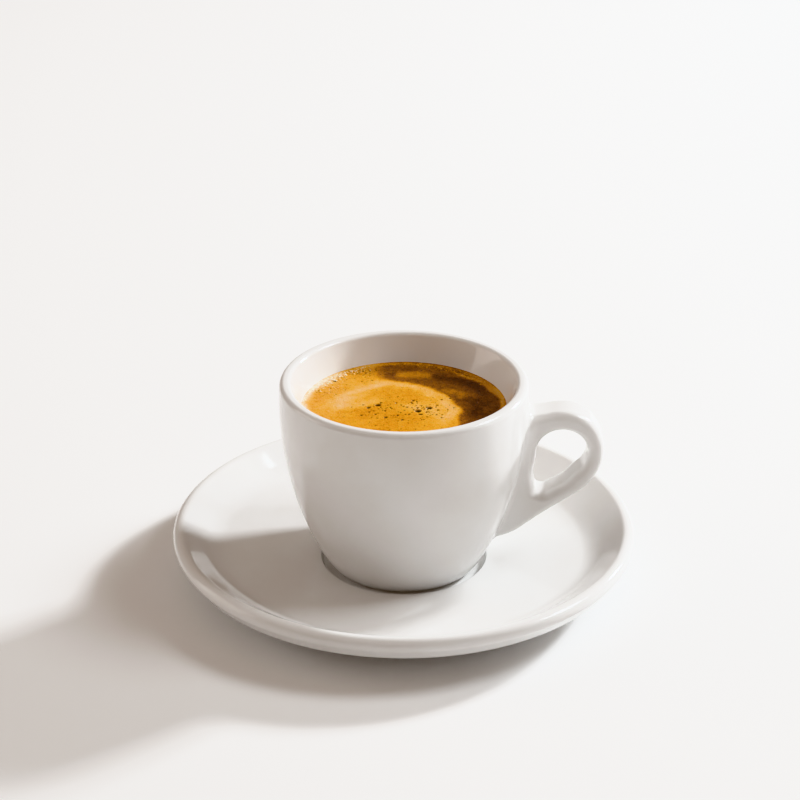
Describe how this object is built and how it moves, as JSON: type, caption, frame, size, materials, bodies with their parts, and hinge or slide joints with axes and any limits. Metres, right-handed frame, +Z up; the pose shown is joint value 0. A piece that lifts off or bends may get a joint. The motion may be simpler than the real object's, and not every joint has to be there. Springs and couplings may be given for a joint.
{
  "type": "espresso in a cup",
  "caption": "Espresso shot filling a small thick-walled porcelain cup with a looped handle, standing in the well of its round saucer.",
  "frame": {"origin": "on the common axis of cup and saucer, at the height of the table under the saucer's foot ring", "axes": "+Z up through the cup's mouth; +X from the axis out through the cup's handle; +Y completes the right-handed frame"},
  "size_m": [0.12, 0.12, 0.0547],
  "materials": {
    "saucer_glaze": "gloss",
    "cup_glaze": "gloss",
    "crema": "gloss"
  },
  "bodies": {
    "root": {"saucer": "saucer_glaze", "cup": "cup_glaze", "espresso": "crema"}
  },
  "joints": []
}
